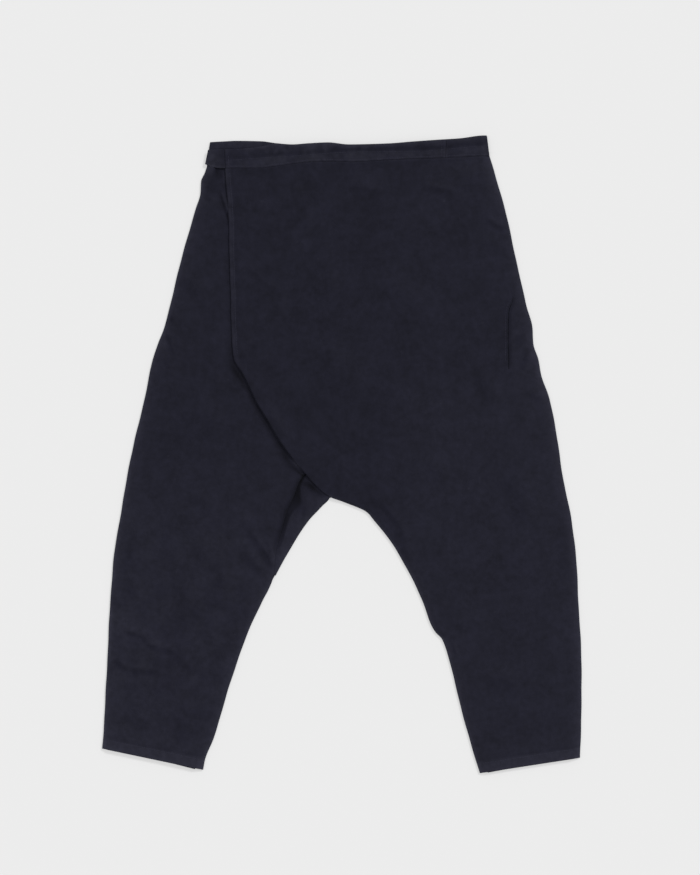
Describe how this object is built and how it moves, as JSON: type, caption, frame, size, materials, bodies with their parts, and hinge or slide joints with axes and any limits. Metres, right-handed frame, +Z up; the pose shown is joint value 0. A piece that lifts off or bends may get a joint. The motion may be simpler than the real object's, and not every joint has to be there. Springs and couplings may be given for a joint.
{
  "type": "momohiki pants",
  "caption": "Dark navy brushed cotton momohiki pants, laid flat: wrap front with a slanting fold, low crotch, wide hips and tapered legs.",
  "frame": {"origin": "middle of the laid garment's outline, on the surface that it lies on", "axes": "+Z up off that surface, out of the garment's front; +Y from hems to waist; +X towards the wearer's left leg"},
  "size_m": [0.696, 0.9256, 0.0086],
  "materials": {
    "cloth": "dark navy brushed cotton, matt, with a short nap",
    "band": "the same cotton folded double, pressed and a little worn"
  },
  "bodies": {
    "root": {"back_right": "cloth", "back_left": "cloth", "crotch_gusset": "cloth", "pocket_facing_left": "cloth", "hem_back_right": "cloth", "hem_front_right": "cloth", "hem_back_left": "cloth", "hem_front_left": "cloth", "front_right": "cloth", "front_left": "cloth", "wrap_edge_hem": "cloth", "waistband_back": "band", "waistband_right": "band", "waistband_tab": "band", "waistband_front": "band", "waistband_side": "band"}
  },
  "joints": []
}
